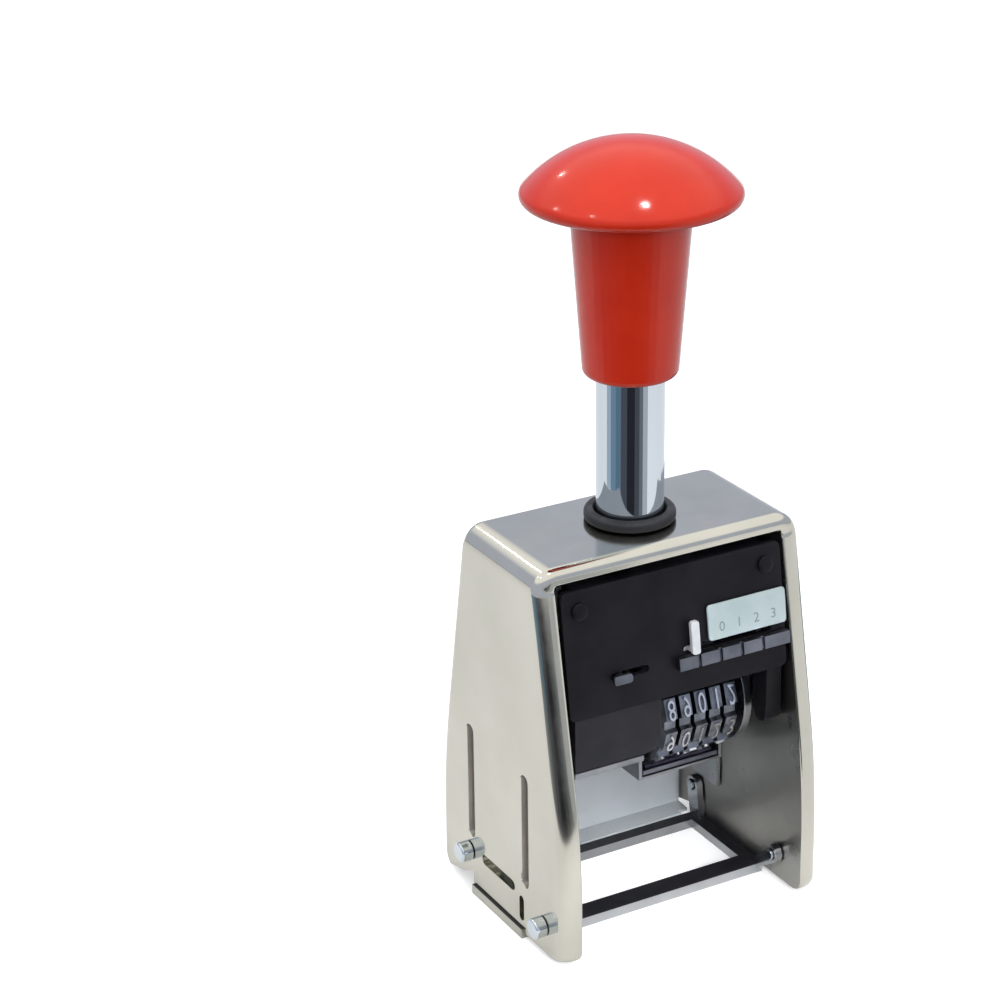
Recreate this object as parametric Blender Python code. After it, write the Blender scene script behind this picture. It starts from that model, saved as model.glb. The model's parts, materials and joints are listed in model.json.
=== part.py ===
"""Self-inking rotary date and numbering stamp.

Units are metres, +Z is up and -Y is the front.  The origin is on the plunger's
axis, in the plane of the foot plate's underside.  A chromed frame stands over the
paper.  Pressing the red knob drives a carriage with five figure wheels down
through the frame, while the ink pad swings out from under them to the rear.
"""

from math import asin, cos, degrees, pi, radians, sin, sqrt

import bmesh
import bpy
from mathutils import Matrix, Vector

MM = 0.001

# Driving dimensions
WIDTH = 58.4 * MM  # over the side walls
HEIGHT = 79 * MM  # foot plate to the frame's top
WALL = 3 * MM  # the frame's top
SIDE_WALL = 4.2 * MM
TOP_HALF_DEPTH = 14.5 * MM
FOOT_HALF_DEPTH = 24.2 * MM
STROKE = 26.8 * MM  # plunger travel
TOTAL_HEIGHT = 153 * MM
GAP = 0.3 * MM  # between pieces that touch
RUNNING = 0.15 * MM  # radial play of a piece that turns on a shaft

# Frame outline
CORNER = 4.6 * MM  # outer radius between top and walls
EDGE_ROUND = 2.2 * MM  # depth of the rounding along the frame's front and rear edges
FOOT_RISE = 1.2 * MM  # the walls end this far above the foot plate's underside
TOE_HEIGHT = 2.6 * MM
LEG_STRAIGHT = 12 * MM  # the legs are upright below this height
KNEE = 38 * MM  # and straight again above this one
SHOULDER = HEIGHT - WALL

# Figure wheels
WHEEL_COUNT = 5
WHEEL_PITCH = 3.45 * MM
WHEEL_START = 0.9 * MM  # left face of the first wheel
WHEEL_RADIUS = 11.6 * MM  # over the raised figures
WHEEL_BODY_RADIUS = 10.4 * MM
RATCHET_RADIUS = 8 * MM
RATCHET_WIDTH = 0.7 * MM
FACES = 10
AXLE_RADIUS = 2 * MM
AXLE = Vector((0, 0, 38.5 * MM))
FINGER = (0.08 * MM, 0.48 * MM)  # across a wheel's ratchet gap: a detent or feed finger

# Plunger
ROD_RADIUS = 2.9 * MM
TUBE_RADIUS = 6.5 * MM
TUBE_BORE = 4.8 * MM
TUBE_TOP = 121 * MM
NECK_RADIUS = 5.6 * MM
COLLAR_RADIUS = 8.8 * MM
COLLAR_TOP = 81.3 * MM
KNOB_FOOT = 108.2 * MM  # the knob's lower rim, at rest
SEAT_Z = 118.6 * MM

# Carriage
INSIDE = WIDTH / 2 - SIDE_WALL
PLATE_X = 22.6 * MM  # inner face of a side plate
PLATE_THICK = 1 * MM
SHAFT_RADIUS = 1.5 * MM  # tie rod and pawl shaft
SHAFT_END = PLATE_X + PLATE_THICK
COVER_Y = -14.9 * MM  # front face of the black front cover, at its top edge
COVER_TOP = 74.4 * MM
COVER_BOTTOM = 49.6 * MM
COVER_THICK = 1.2 * MM
LEAN = 0.15  # how far the cover leans forward for each unit of height
SELECTOR = (3 * MM, 60.6 * MM, 57.85 * MM)  # x, height of its face, height of its slot
LATCH = (-13.2 * MM, 56.3 * MM, 56.3 * MM)
HOOD_FRONT = -17 * MM
HOOD_BOTTOM = 37.9 * MM
HOOD_TOP = COVER_BOTTOM - 0.4 * MM
PAWL_AXIS = Vector((0, -2 * MM, 55.5 * MM))
PAWL_ROCK = radians(28)  # how far the feed pawl turns over a full stroke
FOLLOWER_ARM = 6 * MM
FOLLOWER_ANGLE = radians(-21)
FOLLOWER_RADIUS = 0.8 * MM

TIE_ROD = (8.2 * MM, 63 * MM)
SCREW_X = 20.5 * MM
SCREW_Z = 70.5 * MM

# Foot plate
PLATE_THICK_BASE = 2 * MM
PLATE_DEPTH = (-11.4 * MM, 13.2 * MM)
WINDOW_X = 22 * MM  # half the printing window's width
WINDOW_DEPTH = (-6.7 * MM, 10.4 * MM)
TAB = (-8.9 * MM, 11 * MM)  # where its side tabs lie under the walls
REAR_RIVET = (12.6 * MM, 8.9 * MM)
FRONT_RIVET = (-16.4 * MM, 6.8 * MM)
RIVET_HEAD = (2.05 * MM, 2.6 * MM)  # radius and height
SHANK_RADIUS = 1 * MM

# Ink pad, at rest
PAD_FRONT = -4.2 * MM
PAD_REAR = 6.8 * MM
PAD_BOTTOM = AXLE.z - 14.4 * MM
YOKE = (-0.2 * MM, 19.3 * MM)  # over its two arms

ROUND = 28  # sides of a large turned part
SMALL_ROUND = 16

# Colours: (red, green, blue), roughness, metallic
CHROME = ((0.85, 0.84, 0.80), 0.12, 1.0)
STEEL = ((0.55, 0.56, 0.57), 0.35, 1.0)
BRASS = ((0.78, 0.60, 0.30), 0.30, 1.0)
RED = ((0.80, 0.06, 0.03), 0.25, 0.0)
BLACK = ((0.02, 0.02, 0.025), 0.45, 0.0)
RUBBER = ((0.03, 0.03, 0.035), 0.70, 0.0)
SILVER = ((0.72, 0.74, 0.76), 0.40, 0.6)
WHITE = ((0.80, 0.86, 0.86), 0.50, 0.0)
FELT = ((0.05, 0.04, 0.10), 0.95, 0.0)
FIGURES = ((0.48, 0.52, 0.56), 0.35, 0.9)


def clear_scene():
    for obj in list(bpy.data.objects):
        bpy.data.objects.remove(obj)


def finish(obj, look):
    """Gives the object its own material and smooth shading with sharp edges kept."""
    colour, roughness, metallic = look
    material = bpy.data.materials.new(obj.name)
    material.use_nodes = True
    shader = material.node_tree.nodes["Principled BSDF"]
    shader.inputs["Base Color"].default_value = (*colour, 1)
    shader.inputs["Roughness"].default_value = roughness
    shader.inputs["Metallic"].default_value = metallic
    obj.data.materials.append(material)
    obj.data.shade_smooth()
    obj.data.set_sharp_from_angle(angle=radians(35))
    return obj


def new_object(name, bm, origin=(0, 0, 0)):
    """Makes an object from a bmesh in world coordinates, with its origin where asked."""
    bmesh.ops.recalc_face_normals(bm, faces=bm.faces)
    mesh = bpy.data.meshes.new(name)
    bm.to_mesh(mesh)
    bm.free()
    mesh.transform(Matrix.Translation(-Vector(origin)))
    obj = bpy.data.objects.new(name, mesh)
    obj.location = origin
    bpy.context.scene.collection.objects.link(obj)
    return obj


def joined_rings(rings, closed_path=False):
    """A bmesh skin over rings of points with equal counts, with its two ends capped."""
    bm = bmesh.new()
    loops = [[bm.verts.new(point) for point in ring] for ring in rings]
    count = len(loops[0])
    pairs = list(zip(loops, loops[1:]))
    if closed_path:
        pairs.append((loops[-1], loops[0]))
    for lower, upper in pairs:
        for i in range(count):
            j = (i + 1) % count
            bm.faces.new((lower[i], lower[j], upper[j], upper[i]))
    if not closed_path:
        bm.faces.new(loops[0])
        bm.faces.new(loops[-1])
    return bm


def along(axis, low, outline):
    """Points of a flat outline at one place along an axis; the outline holds the other two."""
    order = {
        "X": lambda a, b: (low, a, b),
        "Y": lambda a, b: (a, low, b),
        "Z": lambda a, b: (a, b, low),
    }[axis]
    return [order(a, b) for a, b in outline]


def prism(name, axis, low, high, outline, origin=(0, 0, 0)):
    """A flat outline run along an axis."""
    rings = [along(axis, low, outline), along(axis, high, outline)]
    return new_object(name, joined_rings(rings), origin)


def block(name, x, y, z, origin=(0, 0, 0)):
    """A box from three (low, high) ranges."""
    outline = [(x[0], y[0]), (x[1], y[0]), (x[1], y[1]), (x[0], y[1])]
    return prism(name, "Z", z[0], z[1], outline, origin)


def circle(radius, sides, centre=(0, 0)):
    step = 2 * pi / sides
    return [
        (centre[0] + radius * cos(i * step), centre[1] + radius * sin(i * step))
        for i in range(sides)
    ]


def arc(centre, radius, start, end, steps):
    """Points of an arc, both ends included; angles in degrees."""
    return [
        (
            centre[0] + radius * cos(radians(start + (end - start) * i / steps)),
            centre[1] + radius * sin(radians(start + (end - start) * i / steps)),
        )
        for i in range(steps + 1)
    ]


def stadium(centre, length, width, upright=True, steps=4):
    """A slot's outline: two half circles joined by straight sides."""
    reach = (length - width) / 2
    a, b = centre
    if upright:
        return arc((a, b + reach), width / 2, 0, 180, steps) + arc(
            (a, b - reach), width / 2, 180, 360, steps
        )
    return arc((a + reach, b), width / 2, -90, 90, steps) + arc(
        (a - reach, b), width / 2, 90, 270, steps
    )


def rounded_box(low, high, radius, steps=3):
    """A rectangle's outline with round corners, from its low and high corners."""
    (a0, b0), (a1, b1) = low, high
    return (
        arc((a1 - radius, b1 - radius), radius, 0, 90, steps)
        + arc((a0 + radius, b1 - radius), radius, 90, 180, steps)
        + arc((a0 + radius, b0 + radius), radius, 180, 270, steps)
        + arc((a1 - radius, b0 + radius), radius, 270, 360, steps)
    )


def turned_ring(name, profile, sides=ROUND):
    """A ring turned about Z from a closed (radius, height) profile clear of the axis."""
    step = 2 * pi / sides
    rings = [
        [(r * cos(i * step), r * sin(i * step), z) for r, z in profile]
        for i in range(sides)
    ]
    return new_object(name, joined_rings(rings, closed_path=True))


def turned_solid(name, profile, sides=ROUND):
    """A solid turned about Z from a (radius, height) profile with both ends on the axis."""
    step = 2 * pi / sides
    bm = bmesh.new()
    first = bm.verts.new((0, 0, profile[0][1]))
    last = bm.verts.new((0, 0, profile[-1][1]))
    loops = [
        [bm.verts.new((r * cos(i * step), r * sin(i * step), z)) for i in range(sides)]
        for r, z in profile[1:-1]
    ]
    for i in range(sides):
        j = (i + 1) % sides
        bm.faces.new((first, loops[0][i], loops[0][j]))
        bm.faces.new((last, loops[-1][j], loops[-1][i]))
        for upper, lower in zip(loops, loops[1:]):
            bm.faces.new((upper[i], lower[i], lower[j], upper[j]))
    return new_object(name, bm)


def rod(name, axis, low, high, radius, centre=(0, 0), sides=SMALL_ROUND):
    return prism(name, axis, low, high, circle(radius, sides, centre))


def sleeve(name, axis, low, high, bore, radius, centre, sides=SMALL_ROUND, origin=(0, 0, 0)):
    """A tube along an axis."""
    inner = circle(bore, sides, centre)
    outer = circle(radius, sides, centre)
    rings = [
        along(axis, low, inner),
        along(axis, low, outer),
        along(axis, high, outer),
        along(axis, high, inner),
    ]
    return new_object(name, joined_rings(rings, closed_path=True), origin)


def boolean(target, other, operation):
    """Cuts or joins another object, which then only serves as a tool."""
    modifier = target.modifiers.new(f"{operation}_{other.name}", "BOOLEAN")
    modifier.operation = operation
    modifier.object = other
    modifier.solver = "EXACT"
    other.hide_render = True
    other.display_type = "WIRE"
    other.hide_set(True)


def cut(target, *tools):
    for tool in tools:
        boolean(target, tool, "DIFFERENCE")
    return target


def join(target, *tools):
    for tool in tools:
        boolean(target, tool, "UNION")
    return target


# Frame -----------------------------------------------------------------------


def half_depth(z):
    """Half the frame's depth at a height: upright legs, a soft knee, a straight taper."""
    bend = KNEE - LEG_STRAIGHT
    slope = (FOOT_HALF_DEPTH - TOP_HALF_DEPTH) / (SHOULDER - KNEE + bend / 2)
    toe_top = FOOT_RISE + TOE_HEIGHT
    if z < toe_top:
        rise = min(TOE_HEIGHT, toe_top - z)
        return FOOT_HALF_DEPTH - TOE_HEIGHT + sqrt(TOE_HEIGHT**2 - rise**2)
    if z <= LEG_STRAIGHT:
        return FOOT_HALF_DEPTH
    if z <= KNEE:
        return FOOT_HALF_DEPTH - slope * (z - LEG_STRAIGHT) ** 2 / (2 * bend)
    return max(TOP_HALF_DEPTH, TOP_HALF_DEPTH + slope * (SHOULDER - z))


def frame_stations():
    """Places along the frame's inverted U: outer point, inward direction, half depth."""
    heights = [FOOT_RISE + rise for rise in (0, 0.3 * MM, 0.9 * MM, TOE_HEIGHT)]
    heights += [LEG_STRAIGHT + (KNEE - LEG_STRAIGHT) * i / 4 for i in range(5)]
    heights += [HEIGHT - CORNER]
    side = [((-WIDTH / 2, z), (1, 0)) for z in heights]
    steps = 5
    for i in range(1, steps + 1):
        angle = pi - pi / 2 * i / steps
        outward = (cos(angle), sin(angle))
        point = (
            -WIDTH / 2 + CORNER + CORNER * outward[0],
            HEIGHT - CORNER + CORNER * outward[1],
        )
        side.append((point, (-outward[0], -outward[1])))
    mirrored = [((-x, z), (-nx, nz)) for (x, z), (nx, nz) in reversed(side)]
    return side + mirrored


def edge_section(depth):
    """Cross-section of the frame's wall: (y, distance inwards), outer edges rounded."""
    r = EDGE_ROUND
    front = arc((-depth + r, r), r, -90, -180, 3)
    rear = arc((depth - r, r), r, 0, -90, 3)
    return front + [(-depth, WALL), (depth, WALL)] + rear


def housing_shell():
    rings = []
    widen = SIDE_WALL / WALL  # the walls are thicker than the top
    for (x, z), (nx, nz) in frame_stations():
        section = edge_section(half_depth(z))
        rings.append([(x + nx * s * widen, y, z + nz * s) for y, s in section])
    shell = new_object("housing_shell", joined_rings(rings))
    reach = WIDTH / 2 + 2 * MM
    left_only = {
        "lock_slot": stadium((0.9 * MM, 9.7 * MM), 13 * MM, 2.2 * MM, upright=False),
        "hook_slot": stadium((-8.2 * MM, 6.4 * MM), 5.4 * MM, 1.8 * MM),
    }
    through = {
        "tab_notch": tab_notch_line(),
        "rear_rivet_hole": circle(SHANK_RADIUS + GAP, 12, REAR_RIVET),
        "front_rivet_hole": circle(SHANK_RADIUS + GAP, 12, FRONT_RIVET),
    }
    tools = [prism(name, "X", -reach, reach, line) for name, line in through.items()]
    tools += [prism(name, "X", -reach, 0, line) for name, line in left_only.items()]
    tools.append(rod("neck_hole", "Z", 70 * MM, 85 * MM, NECK_RADIUS + GAP, sides=ROUND))
    groove_floor = WIDTH / 2 - 0.9 * MM
    for y, low, high in ((11.6 * MM, 12.4 * MM, 37.4 * MM), (-9.6 * MM, 11.6 * MM, 36 * MM)):
        line = stadium((y, (low + high) / 2), high - low, 2.6 * MM)
        for side in (-1, 1):
            ends = sorted((side * groove_floor, side * reach))
            tools.append(prism(f"groove_{y * 1e4:.0f}_{side}", "X", *ends, line))
    return finish(cut(shell, *tools), CHROME)


def tab_notch_line():
    """Cut-out in a wall's lower edge for the foot plate's side tab, arched behind the tab."""
    top = PLATE_THICK_BASE + GAP
    arch_end = 22.5 * MM
    return [
        (TAB[0] - GAP, -MM),
        (arch_end, -MM),
        (arch_end, FOOT_RISE),
        (15 * MM, 2.9 * MM),
        (TAB[1] + GAP, 5 * MM),
        (TAB[1] + GAP, top),
        (TAB[0] - GAP, top),
    ]


def ear_line(centre):
    """Outline of an ear: a foot on the plate, and a round lobe about its rivet."""
    side = 1 if centre[0] > 0 else -1
    near = PLATE_DEPTH[1 if side > 0 else 0] - side * 0.2 * MM
    start, end = (-35, 175) if side > 0 else (215, 5)
    foot = [(near - side * 3.4 * MM, MM), (near, MM)]
    return foot + arc(centre, 1.9 * MM, start, end, 7)


def base_plate():
    """The chromed foot plate with its printing window and four upturned ears."""
    edge = INSIDE - GAP
    thick = (0, PLATE_THICK_BASE)
    plate = block("base_plate", (-edge, edge), PLATE_DEPTH, thick)
    window = block("print_window", (-WINDOW_X, WINDOW_X), WINDOW_DEPTH, (-1 * MM, 3 * MM))
    reach = WIDTH / 2 + 0.5 * MM
    ears = []
    for side in (-1, 1):
        across = sorted((side * WINDOW_X, side * reach))
        ears.append(block(f"side_tab_{side}", across, TAB, thick))
        x = sorted((side * edge, side * (edge - 1.4 * MM)))
        for label, centre in (("rear", REAR_RIVET), ("front", FRONT_RIVET)):
            ear = prism(f"ear_{label}_{side}", "X", *x, ear_line(centre))
            hole = rod(
                f"ear_hole_{label}_{side}", "X", x[0] - MM, x[1] + MM, SHANK_RADIUS + GAP, centre, 12
            )
            ears.append(cut(ear, hole))
    return finish(cut(join(plate, *ears), window), CHROME)


def rivet(name, side, centre):
    """A tall-headed rivet through a side wall and the foot plate's ear."""
    outer = WIDTH / 2
    radius, height = RIVET_HEAD
    steps = (
        (INSIDE - 2.3 * MM, SHANK_RADIUS),
        (outer + GAP / 2, SHANK_RADIUS),
        (outer + GAP / 2, radius),
        (outer + height - 0.3 * MM, radius),
        (outer + height, radius - 0.3 * MM),
    )
    rings = [along("X", side * x, circle(r, 20, centre)) for x, r in steps]
    origin = (side * outer, *centre)
    return finish(new_object(name, joined_rings(rings), origin), CHROME)


def rear_cover():
    """Bent silver sheet that closes the back, its foot folded forward to the foot plate."""
    bend_z = 44 * MM
    y = 19.6 * MM
    top_y, top_z = 13 * MM, 75 * MM
    thick = 1 * MM
    fold_y, foot_z = 16.2 * MM, 0.5 * MM
    line = [
        (y, 1.4 * MM),
        (fold_y, 1.2 * MM),
        (fold_y, foot_z),
        (y + thick, foot_z),
        (y + thick, bend_z),
        (top_y + thick, top_z),
        (top_y, top_z),
        (y, bend_z),
    ]
    edge = INSIDE - GAP
    sheet = prism("rear_cover", "X", -edge, edge, line)
    hem_x = WINDOW_X - 0.6 * MM
    hem_y = (PLATE_DEPTH[1] + GAP, fold_y + 0.5 * MM)
    hem = block("rear_hem", (-hem_x, hem_x), hem_y, (foot_z, 2.2 * MM))
    return finish(join(sheet, hem), SILVER)


def guide_rail(name, side, y):
    x = sorted((side * (INSIDE - 0.2 * MM), side * 23.9 * MM))
    return finish(block(name, x, y, (12 * MM, 72 * MM)), STEEL)


def follower_at(travel):
    """Where the feed pawl's follower pin is, as (y, z), after some plunger travel."""
    turn = FOLLOWER_ANGLE - PAWL_ROCK * travel / STROKE
    return (
        PAWL_AXIS.y + FOLLOWER_ARM * cos(turn),
        PAWL_AXIS.z - travel + FOLLOWER_ARM * sin(turn),
    )


def cam_strip():
    """Strip on the left wall whose front edge rocks the feed pawl as the carriage passes."""
    x = (-INSIDE + 0.2 * MM, -23.9 * MM)
    steps = 6
    clear = FOLLOWER_RADIUS + GAP
    edge = [follower_at(STROKE * i / steps) for i in range(steps + 1)]
    edge = [(y + clear, z) for y, z in edge]
    low, high, rear = 16 * MM, 58 * MM, 8 * MM
    line = [(rear, high), (edge[0][0], high), *edge, (edge[-1][0], low), (rear, low)]
    return finish(prism("cam_strip", "X", *x, line), STEEL)


# Plunger guide -----------------------------------------------------------------


def guide_tube():
    """The fixed chromed tube that the knob slides over, with a neck through the frame's top."""
    profile = [
        (TUBE_BORE, 72.9 * MM),
        (NECK_RADIUS, 72.9 * MM),
        (NECK_RADIUS, HEIGHT + GAP),
        (TUBE_RADIUS, HEIGHT + GAP),
        (TUBE_RADIUS, TUBE_TOP - 0.5 * MM),
        (TUBE_RADIUS - 0.5 * MM, TUBE_TOP),
        (TUBE_BORE, TUBE_TOP),
    ]
    return finish(turned_ring("guide_tube", profile), CHROME)


def bumper_collar():
    bore, r, low, top = TUBE_RADIUS + GAP, COLLAR_RADIUS, HEIGHT + GAP, COLLAR_TOP
    profile = [
        (bore, low),
        (r - 0.3 * MM, low),
        (r, low + 0.5 * MM),
        (r, top - 0.8 * MM),
        (r - 0.5 * MM, top - 0.1 * MM),
        (r - 1.1 * MM, top),
        (bore, top - 0.6 * MM),
    ]
    return finish(turned_ring("bumper_collar", profile, 24), RUBBER)


def hex_nut(name, low, high, bore, across_corners, look):
    hexagon = circle(across_corners / 2, 6)
    nut = prism(name, "Z", low, high, hexagon)
    hole = rod(f"{name}_bore", "Z", low - MM, high + MM, bore)
    return finish(cut(nut, hole), look)


def round_bush(name, low, high, bore, radius, look):
    profile = [(bore, low), (radius, low), (radius, high), (bore, high)]
    return finish(turned_ring(name, profile, SMALL_ROUND), look)


def return_spring():
    """Compression spring round the plunger rod, inside the guide tube."""
    low, high = 80.9 * MM, SEAT_Z - 0.8 * MM
    mean, wire = 3.95 * MM, 0.42 * MM
    turns, steps, sides = 7, 12, 5
    rings = []
    count = turns * steps
    for i in range(count + 1):
        angle = 2 * pi * i / steps
        height = low + (high - low) * i / count
        radial = Vector((cos(angle), sin(angle), 0))
        centre = radial * mean + Vector((0, 0, height))
        rings.append(
            [centre + radial * (wire * c) + Vector((0, 0, wire * s)) for c, s in circle(1, sides)]
        )
    return finish(new_object("return_spring", joined_rings(rings)), STEEL)


# Plunger and knob ----------------------------------------------------------------


def plunger_rod():
    profile = [
        (0, 150.1 * MM),
        (ROD_RADIUS - 0.4 * MM, 150.1 * MM),
        (ROD_RADIUS, 149.6 * MM),
        (ROD_RADIUS, 65.5 * MM),
        (ROD_RADIUS - 0.5 * MM, 65 * MM),
        (0, 65 * MM),
    ]
    return finish(turned_solid("plunger_rod", profile, SMALL_ROUND), STEEL)


def knob():
    """Mushroom knob with a hollow stem that slides down over the guide tube."""
    crown = 26.8 * MM  # radius of the domed top
    rim = 1.7 * MM
    crown_centre = TOTAL_HEIGHT - crown
    edge = asin(20 * MM / crown)
    dome = [
        (crown * sin(edge * i / 5), crown_centre + crown * cos(edge * i / 5)) for i in range(6)
    ]
    lip = arc((18.8 * MM, 142.9 * MM), rim, 25, -90, 4)
    bore, bore_end = TUBE_RADIUS + 0.4 * MM, TUBE_TOP + STROKE + 0.4 * MM
    stem = [
        (13.2, 141.5),
        (11.8, 140.7),
        (11.3, 139.2),
        (9.1, 109.9),
        (8.7, 108.7),
        (7.9, KNOB_FOOT / MM),
    ]
    profile = dome + lip + [(r * MM, z * MM) for r, z in stem]
    profile += [
        (bore, KNOB_FOOT),
        (bore, bore_end),
        (ROD_RADIUS + GAP, bore_end),
        (ROD_RADIUS + GAP, 150.4 * MM),
        (0, 150.4 * MM),
    ]
    return finish(turned_solid("handle_knob", profile), RED)


# Carriage --------------------------------------------------------------------------


def carriage_bridge():
    """Cross plate that the plunger rod is bolted to."""
    reach = PLATE_X - GAP
    line = rounded_box((-reach, -9 * MM), (reach, 9 * MM), 2 * MM)
    bridge = prism("carriage_bridge", "Z", 69.5 * MM, 72.3 * MM, line)
    hole = rod("bridge_hole", "Z", 68 * MM, 74 * MM, ROD_RADIUS + GAP)
    return finish(cut(bridge, hole), STEEL)


def side_plate(name, side):
    """Steel cheek with a round lower end about the wheel axle."""
    low = arc((AXLE.y, AXLE.z), 7 * MM, 180, 360, 8)
    line = low + [
        (7 * MM, 42 * MM),
        (10.4 * MM, 46 * MM),
        (10.4 * MM, 72 * MM),
        (-10.4 * MM, 72 * MM),
        (-10.4 * MM, 46 * MM),
        (-7 * MM, 42 * MM),
    ]
    x = sorted((side * PLATE_X, side * (PLATE_X + PLATE_THICK)))
    plate = prism(name, "X", *x, line)
    tools = []
    for label, axis, radius in (("axle", AXLE, AXLE_RADIUS), ("pawl", PAWL_AXIS, SHAFT_RADIUS)):
        centre = (axis.y, axis.z)
        tools.append(
            rod(f"{name}_{label}", "X", x[0] - MM, x[1] + MM, radius + GAP, centre, SMALL_ROUND)
        )
    tools.append(rod(f"{name}_tie", "X", x[0] - MM, x[1] + MM, SHAFT_RADIUS + GAP, TIE_ROD, 12))
    if side < 0:
        tools.append(prism("follower_slot", "X", x[0] - MM, x[1] + MM, follower_slot_line()))
    return finish(cut(plate, *tools), STEEL)


def follower_slot_line():
    """Curved slot round the pawl's axis for the follower pin."""
    centre = (PAWL_AXIS.y, PAWL_AXIS.z)
    half = FOLLOWER_RADIUS + 1.5 * GAP
    start, end = degrees(FOLLOWER_ANGLE) + 13, degrees(FOLLOWER_ANGLE - PAWL_ROCK) - 13
    outer = arc(centre, FOLLOWER_ARM + half, start, end, 5)
    return outer + arc(centre, FOLLOWER_ARM - half, end, start, 5)


def lean(*objects):
    """Leans meshes with the cover, further forward the lower they are."""
    for obj in objects:
        for vertex in obj.data.vertices:
            vertex.co.y -= LEAN * (COVER_TOP - vertex.co.z)
    return objects[0]


def front_cover():
    """Black cover over the upper mechanism, with slots for the selector and the latch."""
    back = COVER_Y + COVER_THICK
    half = 24.2 * MM
    outline = rounded_box((-half, COVER_BOTTOM), (half, COVER_TOP), 1.2 * MM, 2)
    face = prism("front_cover", "Y", COVER_Y, back, outline)
    flange = block(
        "cover_flange", (-21 * MM, 21 * MM), (back - 0.5 * MM, -9.6 * MM), (73 * MM, 74.2 * MM)
    )
    slots = {
        "selector_slot": stadium((11.2 * MM, SELECTOR[2]), 20 * MM, 1.4 * MM, upright=False),
        "latch_slot": stadium((-10.7 * MM, LATCH[2]), 8.4 * MM, 1.5 * MM, upright=False),
    }
    tools = [prism(name, "Y", COVER_Y - MM, back + MM, line) for name, line in slots.items()]
    for side in (-1, 1):
        centre = (side * SCREW_X, SCREW_Z)
        tools.append(rod(f"screw_hole_{side}", "Y", COVER_Y - MM, back + MM, 1.3 * MM, centre, 12))
    lean(face, flange, *tools)
    return finish(cut(join(face, flange), *tools), BLACK)


def cover_screw(name, side):
    centre = (side * SCREW_X, SCREW_Z)
    face = COVER_Y - GAP
    steps = (
        (face - 0.5 * MM, 1.0),
        (face - 0.3 * MM, 1.6),
        (face, 1.7),
        (face, 1.0),
        (-11.4 * MM, 1.0),
    )
    rings = [along("Y", y, circle(r * MM, 12, centre)) for y, r in steps]
    return finish(lean(new_object(name, joined_rings(rings))), BLACK)


def scale_plate():
    face = COVER_Y - GAP
    line = rounded_box((6.6 * MM, 58.6 * MM), (24.2 * MM, 65.5 * MM), 0.6 * MM, 2)
    return finish(lean(prism("scale_plate", "Y", face - 0.5 * MM, face, line)), WHITE)


def selector_rail():
    """Grey bar under the scale, notched once for each setting."""
    face = COVER_Y - GAP
    z = (54.7 * MM, 57.1 * MM)
    bar = block("selector_rail", (-0.8 * MM, 24.2 * MM), (face - 1.4 * MM, face), z)
    tools = []
    for i in range(4):
        x = (3.4 + 4.8 * i) * MM
        across = (x, x + 0.6 * MM)
        deep = (face - 2 * MM, face - 0.8 * MM)
        tools.append(block(f"notch_{i}", across, deep, (z[0] - MM, z[1] + MM)))
    lean(bar, *tools)
    return finish(cut(bar, *tools), STEEL)


def slider(name, centre, face_size, stem_size, look):
    """A finger piece in front of the cover, its stem through a slot and a button behind."""
    x, z, stem_z = centre
    width, height = face_size
    near = COVER_Y - 1.1 * MM
    back = COVER_Y + COVER_THICK + GAP
    outline = rounded_box(
        (x - width / 2, z - height / 2), (x + width / 2, z + height / 2), 0.5 * MM, 2
    )
    face = prism(name, "Y", near - 0.8 * MM, near, outline)
    half, stem_half = stem_size / 2, 0.4 * MM
    stem = block(
        f"{name}_stem",
        (x - half, x + half),
        (near - 0.2 * MM, back + 0.2 * MM),
        (stem_z - stem_half, stem_z + stem_half),
    )
    button = rod(f"{name}_button", "Y", back, back + 0.8 * MM, 1.5 * MM, (x, stem_z), 12)
    lean(face, stem, button)
    return finish(join(face, stem, button), look)


def mechanism_cover():
    """Black hood over the left end of the axle, open at the back and at the bottom."""
    right = -3.4 * MM
    left = -(PLATE_X - GAP)
    front = HOOD_FRONT
    round_off, wall = 3.5 * MM, 1.3 * MM
    centre = (right - round_off, HOOD_BOTTOM + round_off)
    outline = arc(centre, round_off, -90, 0, 4)
    outline += [(right, HOOD_TOP), (left, HOOD_TOP), (left, HOOD_BOTTOM)]
    hood = prism("mechanism_cover", "Y", front, 11 * MM, outline)
    inside = arc(centre, round_off - wall, -90, 0, 3)
    inside += [
        (right - wall, HOOD_TOP - wall),
        (left + wall, HOOD_TOP - wall),
        (left + wall, HOOD_BOTTOM + wall),
    ]
    room = prism("hood_room", "Y", front + wall, 12 * MM, inside)
    across = (left + wall, right - wall)
    floor = block("hood_floor_window", across, (-8 * MM, 12 * MM), (30 * MM, 42 * MM))
    hole = rod("hood_axle_hole", "X", left - MM, right + MM, AXLE_RADIUS + GAP, (AXLE.y, AXLE.z))
    return finish(cut(hood, room, floor, hole), BLACK)


def hood_sill():
    """Bright sill under the hood's front edge."""
    line = [(-16.8, 36.4), (-15.9, 36.4), (-15.9, 36.9), (-8.3, 36.9), (-8.3, 37.6), (-16.8, 37.6)]
    line = [(y * MM, z * MM) for y, z in line]
    return finish(prism("hood_sill", "X", -22.2 * MM, -7 * MM, line), CHROME)


def right_guard():
    """Black guard at the right end of the figure wheels, round at the bottom."""
    radius = 2.2 * MM
    centre = (HOOD_FRONT + radius, 36.8 * MM + radius)
    line = arc(centre, radius, 180, 360, 6)
    line += [(centre[0] + radius, HOOD_TOP), (centre[0] - radius, HOOD_TOP)]
    return finish(prism("right_guard", "X", 20.6 * MM, 24.1 * MM, line), BLACK)


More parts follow.
